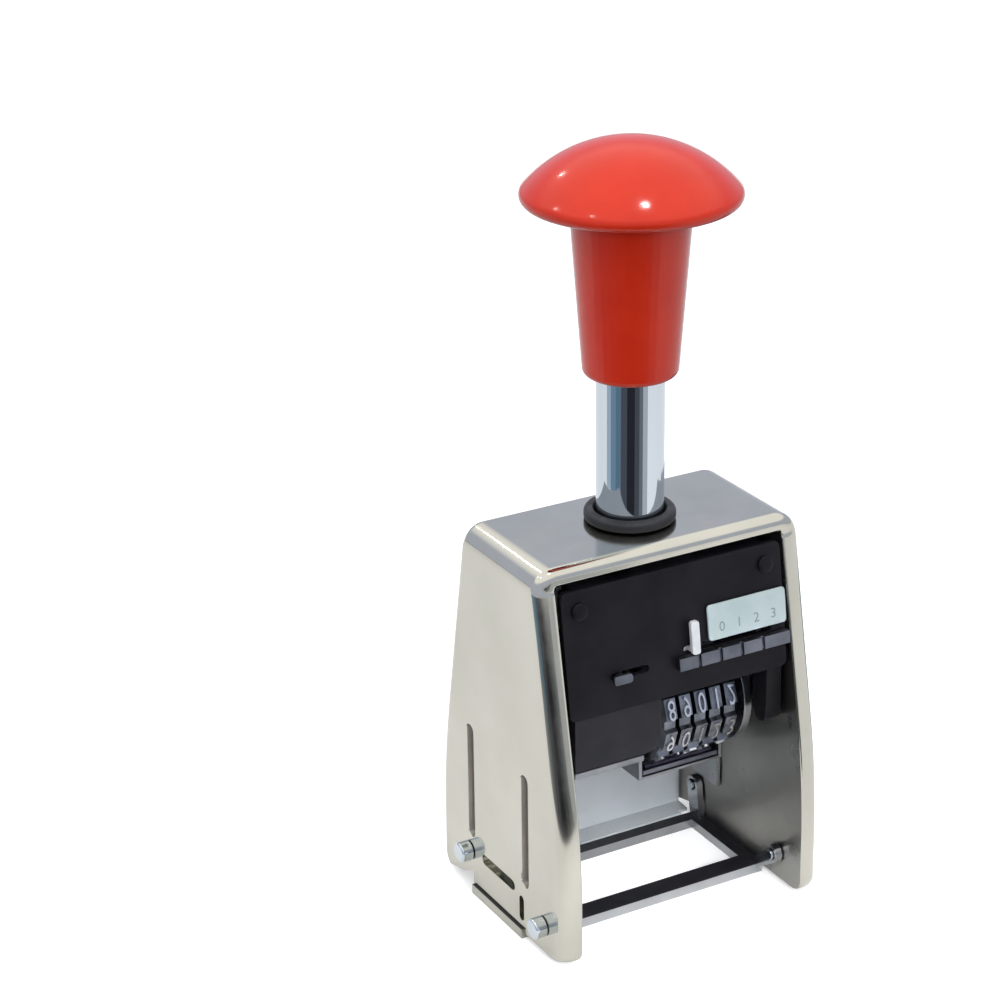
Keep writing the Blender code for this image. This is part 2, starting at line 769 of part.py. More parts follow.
def end_cheek():
    """Round cheek beside the last wheel."""
    line = circle(11.3 * MM, 32, (AXLE.y, AXLE.z))
    cheek = prism("end_cheek", "X", 19.6 * MM, 21.3 * MM, line)
    trim = block("cheek_trim", (19 * MM, 22 * MM), (2 * MM, 13 * MM), (44.5 * MM, 52 * MM))
    bore = rod("cheek_bore", "X", 19 * MM, 22 * MM, AXLE_RADIUS + GAP, (AXLE.y, AXLE.z))
    return finish(cut(cheek, trim, bore), STEEL)


def detent_comb():
    """Leaf comb behind the wheels: one finger in each wheel's ratchet gap."""
    reach = PLATE_X - GAP
    bar = block("detent_comb", (-reach, reach), (9.4 * MM, 10.3 * MM), (49.5 * MM, 53.5 * MM))
    tip = RATCHET_RADIUS + 0.45 * MM
    angle = radians(46)
    end = (AXLE.y + tip * cos(angle), AXLE.z + tip * sin(angle))
    line = [
        end,
        (end[0] + 1.1 * MM, end[1] - 0.3 * MM),
        (10.2 * MM, 50.4 * MM),
        (9.5 * MM, 52.4 * MM),
    ]
    fingers = []
    for i in range(WHEEL_COUNT):
        x = WHEEL_START + i * WHEEL_PITCH
        fingers.append(prism(f"detent_{i}", "X", x + FINGER[0], x + FINGER[1], line))
    return finish(join(bar, *fingers), STEEL)


def axle_sleeve():
    centre = (AXLE.y, AXLE.z)
    tube = sleeve(
        "axle_sleeve", "X", -20.8 * MM, -9.2 * MM, AXLE_RADIUS + RUNNING, 3.4 * MM, centre, 12
    )
    return finish(tube, BRASS)


def pawl_spring():
    """Torsion spring wound round the feed pawl's hub."""
    turns, steps, sides = 3, 10, 4
    mean, wire = 4.1 * MM, 0.35 * MM
    rings = []
    for i in range(turns * steps + 1):
        angle = 2 * pi * i / steps
        radial = Vector((0, cos(angle), sin(angle)))
        centre = PAWL_AXIS + radial * mean + Vector((-17 * MM + 1.1 * MM * i / steps, 0, 0))
        rings.append(
            [centre + radial * (wire * c) + Vector((wire * s, 0, 0)) for c, s in circle(1, sides)]
        )
    return finish(new_object("pawl_spring", joined_rings(rings)), STEEL)


# Figure wheels, feed and ink pad ---------------------------------------------------


def ratchet_line(radius, teeth, depth):
    """Saw-tooth outline round the axis."""
    line = []
    for i in range(teeth):
        start = 2 * pi * i / teeth
        drop = start + 2 * pi / teeth * 0.82
        line.append((radius * cos(start), radius * sin(start)))
        line.append(((radius - depth) * cos(drop), (radius - depth) * sin(drop)))
    return line


def figure_line():
    """Outline of a figure wheel: ten raised faces round its rim."""
    pitch = 2 * pi / FACES
    half = 0.30 * pitch
    line = []
    for i in range(FACES):
        middle = i * pitch - pi / 2
        for radius, offset in (
            (WHEEL_BODY_RADIUS, -half * 1.25),
            (WHEEL_RADIUS, -half),
            (WHEEL_RADIUS, half),
            (WHEEL_BODY_RADIUS, half * 1.25),
        ):
            angle = middle + offset
            line.append((radius * cos(angle), radius * sin(angle)))
    return line


def number_wheel(name, left):
    """A figure wheel on the axle, with its ratchet ring on the left face."""
    around = [(AXLE.y + y, AXLE.z + z) for y, z in figure_line()]
    body_left = left + RATCHET_WIDTH
    origin = (body_left, AXLE.y, AXLE.z)
    wheel = prism(name, "X", body_left, left + WHEEL_PITCH - RUNNING, around, origin)
    teeth = [(AXLE.y + y, AXLE.z + z) for y, z in ratchet_line(RATCHET_RADIUS, FACES, 1 * MM)]
    ratchet = prism(f"{name}_ratchet", "X", left, body_left + 0.5 * MM, teeth)
    ends = (left - MM, left + WHEEL_PITCH + MM)
    bore = rod(f"{name}_bore", "X", *ends, AXLE_RADIUS + RUNNING, (AXLE.y, AXLE.z))
    return finish(cut(join(wheel, ratchet), bore), FIGURES)


def repeat_ratchet():
    """Counting ratchet inside the hood, for repeated figures."""
    teeth = [(AXLE.y + y, AXLE.z + z) for y, z in ratchet_line(7 * MM, 12, 0.9 * MM)]
    centre = (AXLE.y, AXLE.z)
    disc = prism("repeat_ratchet", "X", -8.6 * MM, -6.6 * MM, teeth, (-7.6 * MM, *centre))
    bore = rod("repeat_bore", "X", -10 * MM, -5 * MM, AXLE_RADIUS + RUNNING, centre)
    return finish(cut(disc, bore), BRASS)


def feed_pawl():
    """Rocker above the wheels with one feed finger for each, and a cam arm at the left."""
    centre = (PAWL_AXIS.y, PAWL_AXIS.z)
    origin = (0, *centre)
    hub = sleeve(
        "feed_pawl", "X", -21.8 * MM, 21.3 * MM, 1.8 * MM, 3 * MM, centre, 12, origin
    )
    tools = []
    reach = 8.5 * MM
    for i in range(WHEEL_COUNT):
        x = WHEEL_START + i * WHEEL_PITCH
        tip = (centre[0] + reach * sin(radians(14)), centre[1] - reach * cos(radians(14)))
        line = [
            (centre[0] - 0.5 * MM, centre[1] - 2.3 * MM),
            tip,
            (tip[0] + 0.9 * MM, tip[1] + 0.7 * MM),
            (centre[0] + 2.3 * MM, centre[1] - 1.0 * MM),
        ]
        tools.append(prism(f"feed_finger_{i}", "X", x + FINGER[0], x + FINGER[1], line))
    rib = [(-1.2, 1.6), (-0.2, 2.6), (-3.1, 5.9), (-4.1, 4.9)]
    rib = [(centre[0] + y * MM, centre[1] + z * MM) for y, z in rib]
    tools.append(prism("balance_rib", "X", -5 * MM, 3 * MM, rib))
    pin = follower_at(0)
    arm = [(-1.6 * MM, 57.6 * MM), (-2.4 * MM, 53 * MM), *arc(pin, 1.4 * MM, -100, 80, 4)]
    tools.append(prism("cam_arm", "X", -21.8 * MM, -20.2 * MM, arm))
    tools.append(rod("follower_pin", "X", -24.6 * MM, -21 * MM, FOLLOWER_RADIUS, pin, 12))
    pawl = join(hub, *tools)
    clear = rod("pawl_bore", "X", -24 * MM, 24 * MM, 1.8 * MM, centre, 12)
    return finish(cut(pawl, clear), STEEL)


def pad_yoke():
    """Folded steel yoke: two arms on the wheel axle carry the pad tray below the wheels."""
    left, right = YOKE
    thick = 0.8 * MM
    y, z = AXLE.y, AXLE.z
    origin = (left, y, z)
    tray = block(
        "pad_yoke", (left, right), (PAD_FRONT, PAD_REAR), (PAD_BOTTOM, PAD_BOTTOM + 0.6 * MM), origin
    )
    line = (
        arc((y, z), 3.9 * MM, -20, 200, 8)
        + [(PAD_FRONT, z - 12.5 * MM), (PAD_FRONT, PAD_BOTTOM + 0.2 * MM)]
        + [(PAD_REAR, PAD_BOTTOM + 0.2 * MM), (PAD_REAR, z - 12.5 * MM)]
    )
    arms, holes = [], []
    for name, x in (("yoke_left", left), ("yoke_right", right - thick)):
        arms.append(prism(name, "X", x, x + thick, line))
        holes.append(
            rod(f"{name}_hole", "X", x - MM, x + thick + MM, AXLE_RADIUS + 0.2 * MM, (y, z))
        )
    return finish(cut(join(tray, *arms), *holes), STEEL)


def pad_cassette():
    """Black tray that holds the felt, a press fit in the yoke."""
    y, z = AXLE.y, AXLE.z
    left, right = YOKE[0] + 1.1 * MM, YOKE[1] - 1.1 * MM
    origin = (left, y, z)
    rim = 0.6 * MM
    low = PAD_BOTTOM + 0.6 * MM + GAP
    tray = block(
        "pad_cassette",
        (left, right),
        (PAD_FRONT + 0.1 * MM, PAD_REAR - 0.1 * MM),
        (low, z - 12.5 * MM),
        origin,
    )
    room = block(
        "felt_room",
        (left + rim, right - rim),
        (PAD_FRONT + rim, PAD_REAR - rim),
        (low + rim, z - 12 * MM),
    )
    return finish(cut(tray, room), BLACK)


def ink_pad():
    y, z = AXLE.y, AXLE.z
    edge = 2 * MM
    felt = block(
        "ink_pad",
        (YOKE[0] + edge, YOKE[1] - edge),
        (PAD_FRONT + 0.9 * MM, PAD_REAR - 0.9 * MM),
        (PAD_BOTTOM + 1.8 * MM, z - 11.95 * MM),
        (YOKE[0] + edge, y, z),
    )
    return finish(felt, FELT)


def build():
    clear_scene()
    housing_shell()
    base_plate()
    rivet("base_rivet_rear_left", -1, REAR_RIVET)
    rivet("base_rivet_rear_right", 1, REAR_RIVET)
    rivet("base_rivet_front_left", -1, FRONT_RIVET)
    rivet("base_rivet_front_right", 1, FRONT_RIVET)
    rear_cover()
    guide_rail("guide_rail_left", -1, (-8.5 * MM, -5.5 * MM))
    guide_rail("guide_rail_right", 1, (4.4 * MM, 13.6 * MM))
    cam_strip()
    guide_tube()
    bumper_collar()
    hex_nut("tube_nut", 73.4 * MM, 75.7 * MM, NECK_RADIUS + GAP, 16.4 * MM, STEEL)
    round_bush("rod_bush", 73 * MM, 80 * MM, ROD_RADIUS + GAP, TUBE_BORE - GAP, BRASS)
    return_spring()
    plunger_rod()
    knob()
    round_bush("knob_lock_collar", 144.6 * MM, 147.6 * MM, ROD_RADIUS + GAP, 4.4 * MM, STEEL)
    round_bush("spring_seat", SEAT_Z, SEAT_Z + 1.2 * MM, ROD_RADIUS + GAP, 4.4 * MM, BRASS)
    carriage_bridge()
    hex_nut("rod_nut", 66.6 * MM, 69.2 * MM, ROD_RADIUS + GAP, 11 * MM, STEEL)
    side_plate("side_plate_left", -1)
    side_plate("side_plate_right", 1)
    finish(rod("tie_rod", "X", -SHAFT_END, SHAFT_END, SHAFT_RADIUS, TIE_ROD, 12), STEEL)
    front_cover()
    cover_screw("cover_screw_left", -1)
    cover_screw("cover_screw_right", 1)
    scale_plate()
    selector_rail()
    slider("selector_slider", SELECTOR, (1.8 * MM, 6.4 * MM), 1 * MM, WHITE)
    slider("latch_slider", LATCH, (4 * MM, 1.7 * MM), 1.6 * MM, CHROME)
    mechanism_cover()
    hood_sill()
    right_guard()
    end_cheek()
    finish(rod("wheel_axle", "X", -SHAFT_END, SHAFT_END, AXLE_RADIUS, (AXLE.y, AXLE.z)), STEEL)
    axle_sleeve()
    repeat_ratchet()
    detent_comb()
    pawl_at = (PAWL_AXIS.y, PAWL_AXIS.z)
    finish(rod("pawl_shaft", "X", -SHAFT_END, SHAFT_END, SHAFT_RADIUS, pawl_at, 12), STEEL)
    pawl_spring()
    feed_pawl()
    for i in range(WHEEL_COUNT):
        number_wheel(f"number_wheel_{i + 1}", WHEEL_START + i * WHEEL_PITCH)
    pad_yoke()
    pad_cassette()
    ink_pad()


build()
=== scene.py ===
import json
from math import asin, cos, degrees, pi, radians, sin, sqrt

import bmesh
import bpy
from mathutils import Matrix, Vector

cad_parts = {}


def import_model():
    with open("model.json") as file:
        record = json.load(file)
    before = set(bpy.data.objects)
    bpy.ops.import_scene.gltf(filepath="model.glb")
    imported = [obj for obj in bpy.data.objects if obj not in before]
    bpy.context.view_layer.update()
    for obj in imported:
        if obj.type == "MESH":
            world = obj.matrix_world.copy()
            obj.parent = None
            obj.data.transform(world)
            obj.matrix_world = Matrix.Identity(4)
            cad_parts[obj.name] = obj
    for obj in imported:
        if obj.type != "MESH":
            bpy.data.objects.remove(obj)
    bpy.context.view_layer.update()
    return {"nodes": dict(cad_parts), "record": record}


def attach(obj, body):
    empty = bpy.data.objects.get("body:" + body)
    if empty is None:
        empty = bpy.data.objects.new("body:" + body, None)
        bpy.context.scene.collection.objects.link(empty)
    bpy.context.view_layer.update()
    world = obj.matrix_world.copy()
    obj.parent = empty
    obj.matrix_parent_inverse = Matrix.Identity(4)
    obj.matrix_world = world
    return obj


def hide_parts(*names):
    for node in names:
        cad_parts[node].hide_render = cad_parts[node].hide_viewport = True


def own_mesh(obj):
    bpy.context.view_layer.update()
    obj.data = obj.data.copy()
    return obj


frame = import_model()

MM = 0.001

# Sizes shared with the frame, in metres
WIDTH = 58.4 * MM
HEIGHT = 79 * MM
WALL = 3 * MM  # the frame's top
SIDE_WALL = 4.2 * MM
CORNER = 4.6 * MM
EDGE_ROUND = 2.2 * MM
TOP_HALF_DEPTH = 14.5 * MM
FOOT_HALF_DEPTH = 24.2 * MM
FOOT_RISE = 1.2 * MM
TOE_HEIGHT = 2.6 * MM
LEG_STRAIGHT = 12 * MM
KNEE = 38 * MM
SHOULDER = HEIGHT - WALL
TUBE_RADIUS = 6.5 * MM
TUBE_TOP = 121 * MM
SEAT = HEIGHT + 0.3 * MM  # where the tube's shoulder and the collar stand
AXLE_Z = 38.5 * MM
COVER_TOP = 74.4 * MM
LABEL_FACE = -15.7 * MM  # front of the scale plate, carried up to the cover's top edge
LEAN = 0.15  # how far the cover leans forward for each unit of height
GROOVES = ((11.6 * MM, 12.4 * MM, 37.4 * MM), (-9.6 * MM, 11.6 * MM, 36 * MM))  # y, low, high
WHEEL_COUNT = 5
WHEEL_PITCH = 3.45 * MM
WHEEL_START = 0.9 * MM
FIGURE_SQUEEZE = 0.62  # width of a wheel's figure against the font's
FONT_HEIGHT = 0.73  # height of a figure in a font of size 1


# Mesh helpers ------------------------------------------------------------------


def object_from(name, bm, smooth=40):
    bmesh.ops.recalc_face_normals(bm, faces=bm.faces)
    mesh = bpy.data.meshes.new(name)
    bm.to_mesh(mesh)
    bm.free()
    mesh.shade_smooth()
    mesh.set_sharp_from_angle(angle=radians(smooth))
    obj = bpy.data.objects.new(name, mesh)
    bpy.context.scene.collection.objects.link(obj)
    return obj


def skin(rings, closed=False):
    bm = bmesh.new()
    loops = [[bm.verts.new(p) for p in ring] for ring in rings]
    count = len(loops[0])
    pairs = list(zip(loops, loops[1:]))
    if closed:
        pairs.append((loops[-1], loops[0]))
    for low, high in pairs:
        for i in range(count):
            j = (i + 1) % count
            bm.faces.new((low[i], low[j], high[j], high[i]))
    if not closed:
        bm.faces.new(loops[0])
        bm.faces.new(loops[-1])
    return bm


def arc(centre, radius, start, end, steps):
    return [
        (
            centre[0] + radius * cos(radians(start + (end - start) * i / steps)),
            centre[1] + radius * sin(radians(start + (end - start) * i / steps)),
        )
        for i in range(steps + 1)
    ]


def circle(radius, sides, centre=(0, 0)):
    return arc(centre, radius, 0, 360 - 360 / sides, sides - 1)


def stadium(centre, length, width, upright=True, steps=10):
    reach = (length - width) / 2
    a, b = centre
    if upright:
        return arc((a, b + reach), width / 2, 0, 180, steps) + arc(
            (a, b - reach), width / 2, 180, 360, steps
        )
    return arc((a + reach, b), width / 2, -90, 90, steps) + arc(
        (a - reach, b), width / 2, 90, 270, steps
    )


def prism(name, axis, low, high, outline, smooth=40):
    if axis == "X":
        rings = [[(x, a, b) for a, b in outline] for x in (low, high)]
    elif axis == "Y":
        rings = [[(a, y, b) for a, b in outline] for y in (low, high)]
    else:
        rings = [[(a, b, z) for a, b in outline] for z in (low, high)]
    return object_from(name, skin(rings), smooth)


def revolve(name, profile, sides=96, smooth=40):
    """Turned about Z; a first or last point on the axis closes that end."""
    bm = bmesh.new()
    step = 2 * pi / sides
    rings = []
    for r, z in profile:
        if r == 0:
            rings.append([bm.verts.new((0, 0, z))])
        else:
            rings.append(
                [bm.verts.new((r * cos(i * step), r * sin(i * step), z)) for i in range(sides)]
            )
    pairs = list(zip(rings, rings[1:]))
    if profile[0][0] > 0 and profile[-1][0] > 0:
        pairs.append((rings[-1], rings[0]))
    for a, b in pairs:
        for i in range(sides):
            j = (i + 1) % sides
            if len(a) == 1:
                bm.faces.new((a[0], b[i], b[j]))
            elif len(b) == 1:
                bm.faces.new((a[i], b[0], a[j]))
            else:
                bm.faces.new((a[i], b[i], b[j], a[j]))
    return object_from(name, bm, smooth)


def bake(obj):
    """Applies the object's modifiers."""
    bpy.context.view_layer.update()
    graph = bpy.context.evaluated_depsgraph_get()
    mesh = bpy.data.meshes.new_from_object(obj.evaluated_get(graph))
    obj.modifiers.clear()
    obj.data = mesh
    return obj


def carve(obj, tools, operation="DIFFERENCE"):
    for tool in tools:
        modifier = obj.modifiers.new(tool.name, "BOOLEAN")
        modifier.operation = operation
        modifier.object = tool
        modifier.solver = "EXACT"
    bake(obj)
    for tool in tools:
        bpy.data.objects.remove(tool)
    return obj


def even(obj, angle=40):
    """Smooth shading in which the large flat faces stay flat."""
    obj.data.shade_smooth()
    obj.data.set_sharp_from_angle(angle=radians(angle))
    weighted = obj.modifiers.new("weighted", "WEIGHTED_NORMAL")
    weighted.mode = "FACE_AREA"
    weighted.weight = 100
    weighted.keep_sharp = True
    return bake(obj)


def soften(obj, width, segments=3, angle=35):
    """Rounds the object's sharp edges, and shades it by face size."""
    bevel = obj.modifiers.new("edges", "BEVEL")
    bevel.width = width
    bevel.segments = segments
    bevel.limit_method = "ANGLE"
    bevel.angle_limit = radians(angle)
    bake(obj)
    return even(obj, 50)


def from_cad(node, width=0.1 * MM, segments=2, smooth=35):
    """A copy of a CAD node with its flat faces whole again and its edges broken."""
    source = frame["nodes"][node]
    bm = bmesh.new()
    bm.from_mesh(source.data)
    bmesh.ops.remove_doubles(bm, verts=bm.verts, dist=0.002 * MM)
    bmesh.ops.dissolve_limit(bm, angle_limit=radians(1), verts=bm.verts, edges=bm.edges)
    mesh = bpy.data.meshes.new(node)
    bm.to_mesh(mesh)
    bm.free()
    obj = bpy.data.objects.new(f"{node}_fine", mesh)
    bpy.context.scene.collection.objects.link(obj)
    mesh.shade_smooth()
    mesh.set_sharp_from_angle(angle=radians(smooth))
    return soften(obj, width, segments) if width else obj


BODY_OF = {
    node: body
    for body, nodes in frame["record"]["behaviour"]["bodies"].items()
    for node in nodes
}


def place(obj, node, material, replace=True):
    """Gives the piece its material and ties it to a CAD node's body."""
    obj.data.materials.clear()
    obj.data.materials.append(material)
    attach(obj, BODY_OF[node])
    if replace:
        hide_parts(node)
    return obj


# Materials -----------------------------------------------------------------------


def new_material(name):
    material = bpy.data.materials.new(name)
    material.use_nodes = True
    return material, material.node_tree.nodes, material.node_tree.links


def noise(nodes, links, scale, detail=4.0, stretch=(1, 1, 1), roughness=0.55):
    """Noise in object coordinates, stretched along an axis where a value is small."""
    coordinates = nodes.new("ShaderNodeTexCoord")
    mapping = nodes.new("ShaderNodeMapping")
    mapping.inputs["Scale"].default_value = stretch
    texture = nodes.new("ShaderNodeTexNoise")
    texture.inputs["Scale"].default_value = scale
    texture.inputs["Detail"].default_value = detail
    texture.inputs["Roughness"].default_value = roughness
    links.new(coordinates.outputs["Object"], mapping.inputs["Vector"])
    links.new(mapping.outputs["Vector"], texture.inputs["Vector"])
    return texture.outputs["Fac"]


def span(nodes, links, value, low, high, start=0.3, end=0.7):
    """Maps a noise value from start..end to low..high."""
    remap = nodes.new("ShaderNodeMapRange")
    remap.inputs["From Min"].default_value = start
    remap.inputs["From Max"].default_value = end
    remap.inputs["To Min"].default_value = low
    remap.inputs["To Max"].default_value = high
    links.new(value, remap.inputs["Value"])
    return remap.outputs["Result"]


def colours(nodes, links, value, stops):
    ramp = nodes.new("ShaderNodeValToRGB")
    elements = ramp.color_ramp.elements
    elements[0].position, elements[0].color = stops[0][0], (*stops[0][1], 1)
    elements[1].position, elements[1].color = stops[-1][0], (*stops[-1][1], 1)
    for position, colour in stops[1:-1]:
        element = elements.new(position)
        element.color = (*colour, 1)
    links.new(value, ramp.inputs["Fac"])
    return ramp.outputs["Color"]


def surface(
    name,
    dark,
    light,
    metallic,
    rough,
    tone_scale=60,
    grain_scale=900,
    grain=0.15,
    stretch=(1, 1, 1),
    coat=0.0,
    specular=0.5,
):
    """A material with mottled tone, uneven roughness and a fine grain."""
    material, nodes, links = new_material(name)
    shader = nodes["Principled BSDF"]
    shader.inputs["Metallic"].default_value = metallic
    shader.inputs["Coat Weight"].default_value = coat
    shader.inputs["Coat Roughness"].default_value = 0.08
    shader.inputs["Specular IOR Level"].default_value = specular
    tone = noise(nodes, links, tone_scale, 5, stretch)
    links.new(
        colours(nodes, links, tone, [(0.32, dark), (0.68, light)]), shader.inputs["Base Color"]
    )
    smear = noise(nodes, links, tone_scale * 2.7, 3, stretch)
    links.new(span(nodes, links, smear, *rough), shader.inputs["Roughness"])
    bump = nodes.new("ShaderNodeBump")
    bump.inputs["Strength"].default_value = grain
    bump.inputs["Distance"].default_value = 0.05 * MM
    links.new(noise(nodes, links, grain_scale, 3, stretch), bump.inputs["Height"])
    links.new(bump.outputs["Normal"], shader.inputs["Normal"])
    return material


ALONG_Z = (1, 1, 0.06)

MATERIALS = {
    "chrome": surface(
        "frame_chrome", (0.52, 0.505, 0.435), (0.59, 0.573, 0.50), 1, (0.09, 0.17), 45, 700, 0.04
    ),
    # rougher than the outer chrome, and darker as painted shade for the inside of the frame
    "dull_inner_chrome_painted_shade": surface(
        "dull_inner_chrome_painted_shade", (0.31, 0.30, 0.275), (0.40, 0.39, 0.355), 1, (0.26, 0.38), 45, 700, 0.06
    ),
    # darker chrome: painted shade for the floors of the pressed grooves
    "groove": surface(
        "groove_painted_shade", (0.24, 0.225, 0.195), (0.32, 0.30, 0.265), 1, (0.32, 0.45), 80, 900, 0.1
    ),
    "bright": surface(
        "bright_chrome", (0.56, 0.61, 0.645), (0.62, 0.67, 0.705), 1, (0.03, 0.08), 70, 900, 0.01,
        ALONG_Z,
    ),
    "red": surface(
        "red_plastic", (0.585, 0.026, 0.007), (0.655, 0.033, 0.010), 0, (0.10, 0.16), 90, 1500, 0.02,
        specular=0.3,
    ),
    "black": surface(
        "black_plastic", (0.006, 0.006, 0.008), (0.014, 0.013, 0.016), 0, (0.30, 0.5), 110, 1300,
        0.15, specular=0.25,
    ),
    "matt_black": surface(
        "matt_black_paint", (0.003, 0.0025, 0.004), (0.008, 0.007, 0.009), 0, (0.35, 0.5), 110, 1300,
        0.12, specular=0.18,
    ),
    "rubber": surface(
        "black_rubber", (0.007, 0.007, 0.009), (0.016, 0.016, 0.019), 0, (0.4, 0.6), 130, 1700, 0.2
    ),
    "steel": surface(
        "plain_steel", (0.34, 0.35, 0.36), (0.50, 0.51, 0.52), 1, (0.26, 0.45), 90, 1100, 0.12
    ),
    "worn_steel": surface(
        "worn_steel", (0.22, 0.23, 0.24), (0.34, 0.35, 0.36), 1, (0.28, 0.45), 90, 1100, 0.12
    ),
    "dark_steel": surface(
        "blued_steel", (0.10, 0.11, 0.13), (0.22, 0.23, 0.26), 1, (0.28, 0.45), 120, 1200, 0.12
    ),
    "ground": surface(
        "ground_steel", (0.55, 0.56, 0.58), (0.68, 0.69, 0.70), 1, (0.14, 0.26), 80, 1500, 0.06,
        ALONG_Z,
    ),
    "wire": surface(
        "spring_wire", (0.40, 0.41, 0.42), (0.58, 0.59, 0.60), 1, (0.2, 0.35), 150, 1500, 0.08
    ),
    "brass": surface(
        "turned_brass", (0.55, 0.38, 0.14), (0.74, 0.55, 0.24), 1, (0.22, 0.4), 110, 1400, 0.1
    ),
    "silver": surface(
        "silver_lacquer", (0.34, 0.365, 0.385), (0.41, 0.435, 0.455), 0.1, (0.3, 0.42), 60, 1900, 0.12
    ),
    "enamel": surface(
        "pale_enamel", (0.37, 0.455, 0.455), (0.46, 0.535, 0.535), 0, (0.35, 0.5), 120, 1200, 0.08
    ),
    "white": surface(
        "white_plastic", (0.50, 0.51, 0.52), (0.60, 0.61, 0.62), 0, (0.3, 0.45), 150, 1500, 0.08
    ),
    "figure": surface(
        "figure_steel", (0.13, 0.14, 0.16), (0.26, 0.28, 0.31), 1, (0.25, 0.42), 260, 1500, 0.15
    ),
    "felt": surface(
        "inked_felt", (0.010, 0.009, 0.018), (0.032, 0.029, 0.045), 0, (0.85, 1.0), 500, 2500, 0.9
    ),
    "print": surface(
        "faded_print", (0.16, 0.21, 0.21), (0.22, 0.28, 0.28), 0, (0.5, 0.7), 200, 1500, 0.1
    ),
}

NODE_LOOK = {
    "base_plate": "ground",
    "base_rivet_rear_left": "bright",
    "base_rivet_rear_right": "bright",
    "base_rivet_front_left": "bright",
    "base_rivet_front_right": "bright",
    "rear_cover": "silver",
    "guide_rail_left": "steel",
    "guide_rail_right": "steel",
    "cam_strip": "steel",
    "tube_nut": "steel",
    "rod_bush": "brass",
    "plunger_rod": "ground",
    "knob_lock_collar": "steel",
    "spring_seat": "brass",
    "carriage_bridge": "steel",
    "rod_nut": "steel",
    "side_plate_left": "dark_steel",
    "side_plate_right": "dark_steel",
    "tie_rod": "ground",
    "front_cover": "matt_black",
    "cover_screw_left": "matt_black",
    "cover_screw_right": "matt_black",
    "scale_plate": "enamel",
    "selector_rail": "dark_steel",
    "selector_slider": "white",
    "latch_slider": "dark_steel",
    "mechanism_cover": "black",
    "hood_sill": "worn_steel",
    "right_guard": "matt_black",
    "end_cheek": "steel",
    "wheel_axle": "ground",
    "axle_sleeve": "brass",
    "repeat_ratchet": "brass",
    "detent_comb": "dark_steel",
    "pawl_shaft": "ground",
    "feed_pawl": "steel",
    "pad_yoke": "worn_steel",
    "pad_cassette": "dark_steel",
    "ink_pad": "felt",
}


# Frame -------------------------------------------------------------------------------


def half_depth(z):
    bend = KNEE - LEG_STRAIGHT
    slope = (FOOT_HALF_DEPTH - TOP_HALF_DEPTH) / (SHOULDER - KNEE + bend / 2)
    toe_top = FOOT_RISE + TOE_HEIGHT
    if z < toe_top:
        rise = min(TOE_HEIGHT, toe_top - z)
        return FOOT_HALF_DEPTH - TOE_HEIGHT + sqrt(TOE_HEIGHT**2 - rise**2)
    if z <= LEG_STRAIGHT:
        return FOOT_HALF_DEPTH
    if z <= KNEE:
        return FOOT_HALF_DEPTH - slope * (z - LEG_STRAIGHT) ** 2 / (2 * bend)
    return max(TOP_HALF_DEPTH, TOP_HALF_DEPTH + slope * (SHOULDER - z))


def shell():
    """The bent sheet with rounded outer edges, pressed grooves and slots."""
    toe = [FOOT_RISE + TOE_HEIGHT * (1 - cos(pi / 2 * i / 8)) for i in range(9)]
    leg = [LEG_STRAIGHT + (KNEE - LEG_STRAIGHT) * i / 16 for i in range(17)]
    side = [((-WIDTH / 2, z), (1, 0)) for z in [*toe, *leg, HEIGHT - CORNER]]
    steps = 12
    for i in range(1, steps + 1):
        angle = pi - pi / 2 * i / steps
        out = (cos(angle), sin(angle))
        point = (
            -WIDTH / 2 + CORNER + CORNER * out[0],
            HEIGHT - CORNER + CORNER * out[1],
        )
        side.append((point, (-out[0], -out[1])))
    stations = side + [((-x, z), (-a, b)) for (x, z), (a, b) in reversed(side)]
    rings = []
    r, lip = EDGE_ROUND, 0.35 * MM
    for (x, z), (a, b) in stations:
        d = half_depth(z)
        section = (
            arc((-d + r, r), r, -90, -180, 9)
            + arc((-d + lip, WALL - lip), lip, 180, 90, 4)
            + arc((d - lip, WALL - lip), lip, 90, 0, 4)
            + arc((d - r, r), r, 0, -90, 9)
        )
        rings.append([(x + a * s * SIDE_WALL / WALL, y, z + b * s) for y, s in section])
    body = object_from("frame_shell", skin(rings), 40)
    reach = WIDTH / 2 + 2 * MM
    left_lines = {
        "lock": stadium((0.9 * MM, 9.7 * MM), 13 * MM, 2.2 * MM, upright=False),
        "hook": stadium((-8.2 * MM, 6.4 * MM), 5.4 * MM, 1.8 * MM),
    }
    lines = {
        "rivet_rear": circle(1.3 * MM, 24, (12.6 * MM, 8.9 * MM)),
        "rivet_front": circle(1.3 * MM, 24, (-16.4 * MM, 6.8 * MM)),
        # the arch that the foot plate's side tab fills, open behind it
        "tab": [
            (y * MM, z * MM)
            for y, z in (
                (-9, -1), (22.5, -1), (22.5, 1.2), (15, 2.9), (11.1, 5), (11.1, 2.1), (-9, 2.1)
            )
        ],
    }
    tools = [prism(name, "X", -reach, reach, line) for name, line in lines.items()]
    tools += [prism(name, "X", -reach, 0, line) for name, line in left_lines.items()]
    tools.append(prism("neck", "Z", 70 * MM, 85 * MM, circle(5.9 * MM, 64)))
    for y, low, high in GROOVES:
        for side_of in (-1, 1):
            tools.append(groove_tool(side_of, y, low, high))
    return even(carve(body, tools), 16)


def groove_tool(side, y, low, high):
    """A pressed channel with sloping sides, narrow at its floor and wide at the wall's face."""
    rings = []
    mouth = 2.9
    for depth, width in ((1.1, 2.1), (0.2, 2.8), (-0.6, 3.4)):
        x = side * (WIDTH / 2 - depth * MM)
        length = high - low - (mouth - width) * MM
        line = stadium((y, (low + high) / 2), length, width * MM)
        rings.append([(x, a, b) for a, b in line])
    return object_from(f"groove_{side}_{y * 1e4:.0f}", skin(rings))


